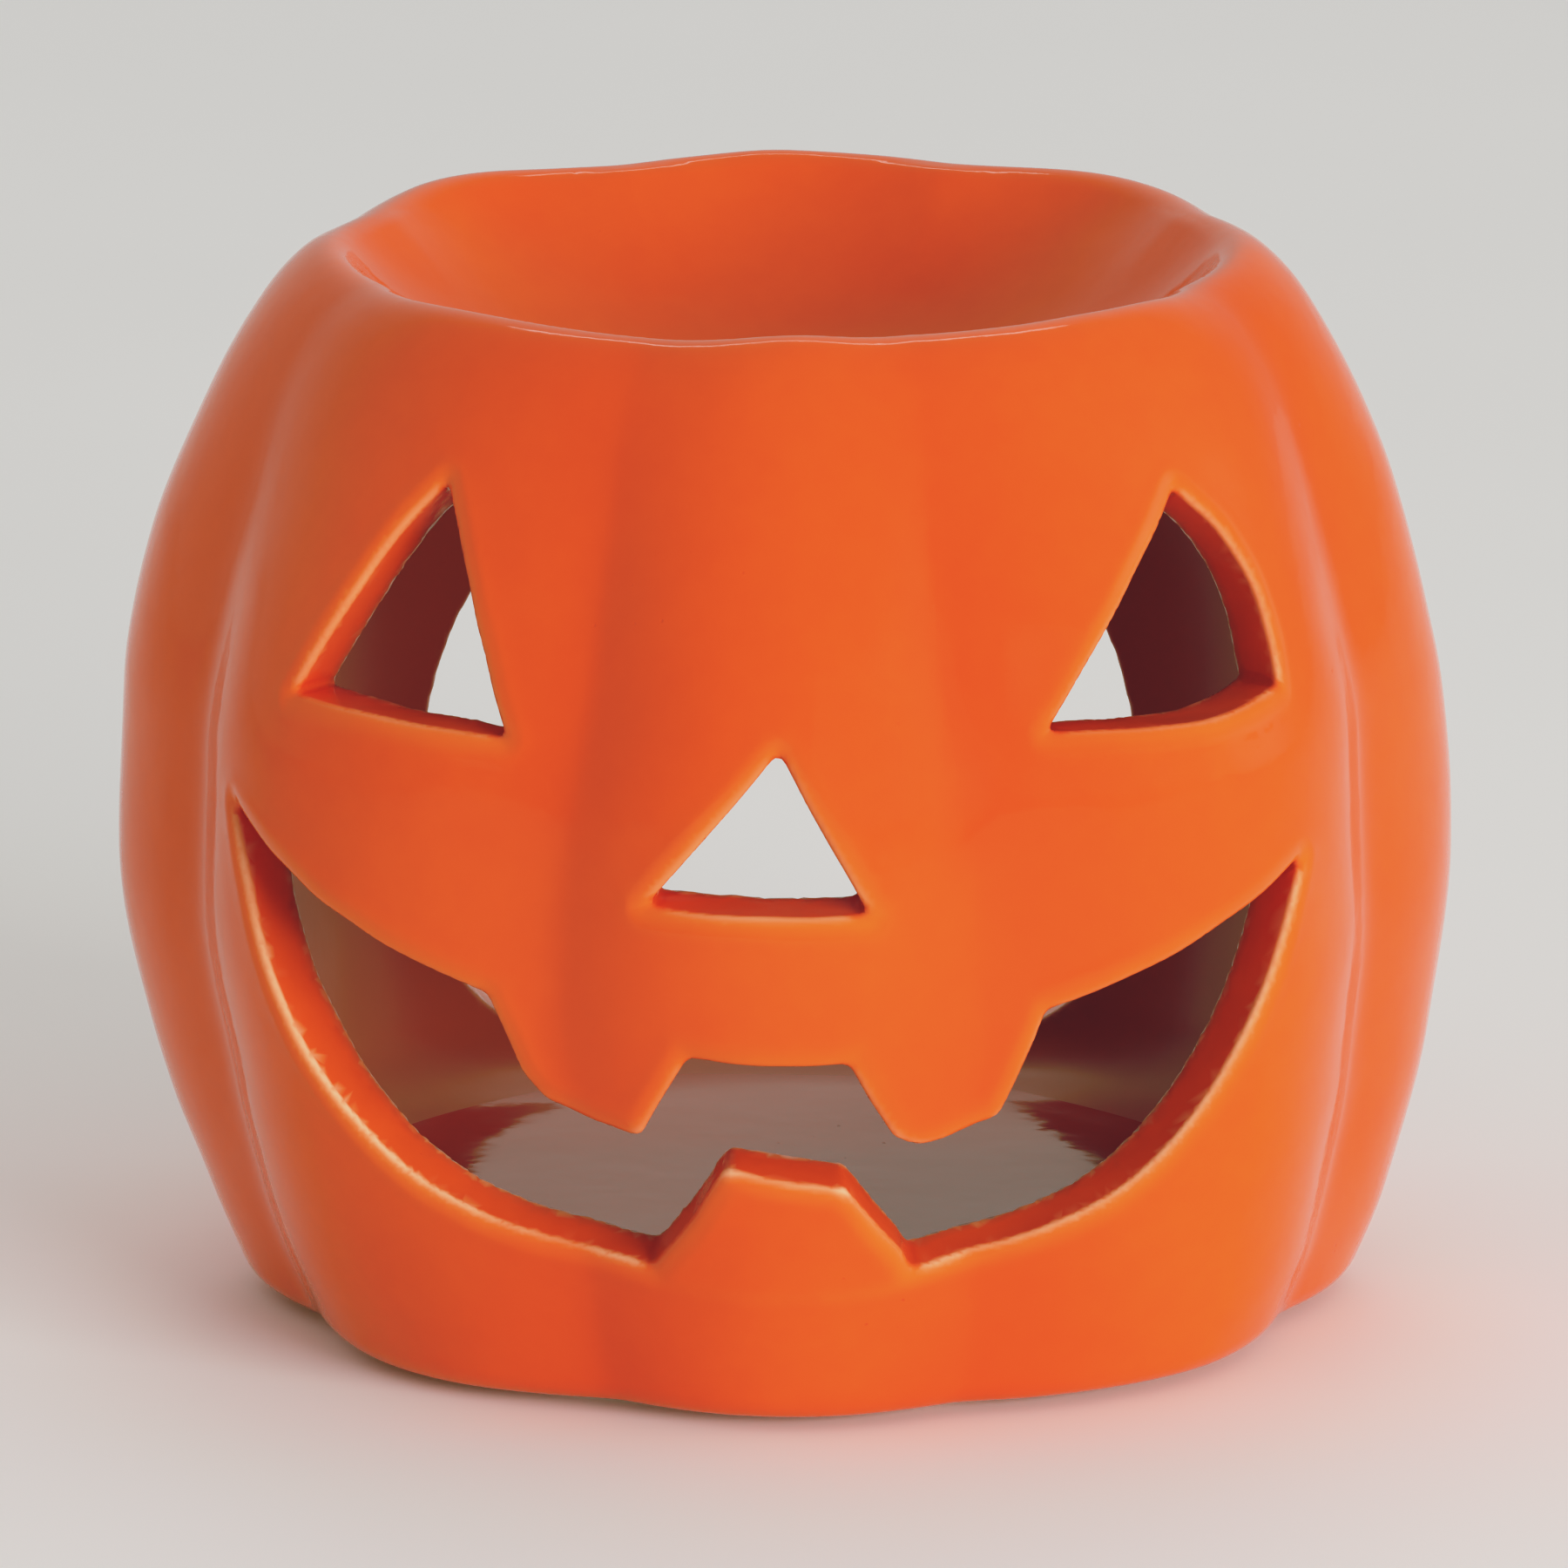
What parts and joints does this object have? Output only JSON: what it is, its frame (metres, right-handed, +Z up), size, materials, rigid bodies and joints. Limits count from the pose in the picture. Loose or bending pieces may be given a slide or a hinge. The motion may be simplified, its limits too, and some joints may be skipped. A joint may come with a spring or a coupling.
{
  "type": "ceramic pumpkin tealight burner",
  "caption": "Glossy orange glazed ceramic pumpkin with a cut-out grinning face, an open melt dish in its top and an arched back opening for a tealight.",
  "frame": {"origin": "centre of the dry foot, on the surface that the figure stands on", "axes": "+Z up through the dish, -Y toward the viewer of the carved face, +X to that viewer's right"},
  "size_m": [0.1047, 0.1015, 0.084],
  "materials": {
    "glaze_body": "glossy orange glaze, thinner and paler on edges",
    "glaze_inside": "glossy orange-brown glaze",
    "biscuit": "matt unglazed fired clay, wiped dry"
  },
  "bodies": {
    "root": {"pumpkin_shell": "glaze_body", "melt_dish": "glaze_body", "tealight_floor": "glaze_inside", "dry_foot": "biscuit"}
  },
  "joints": []
}
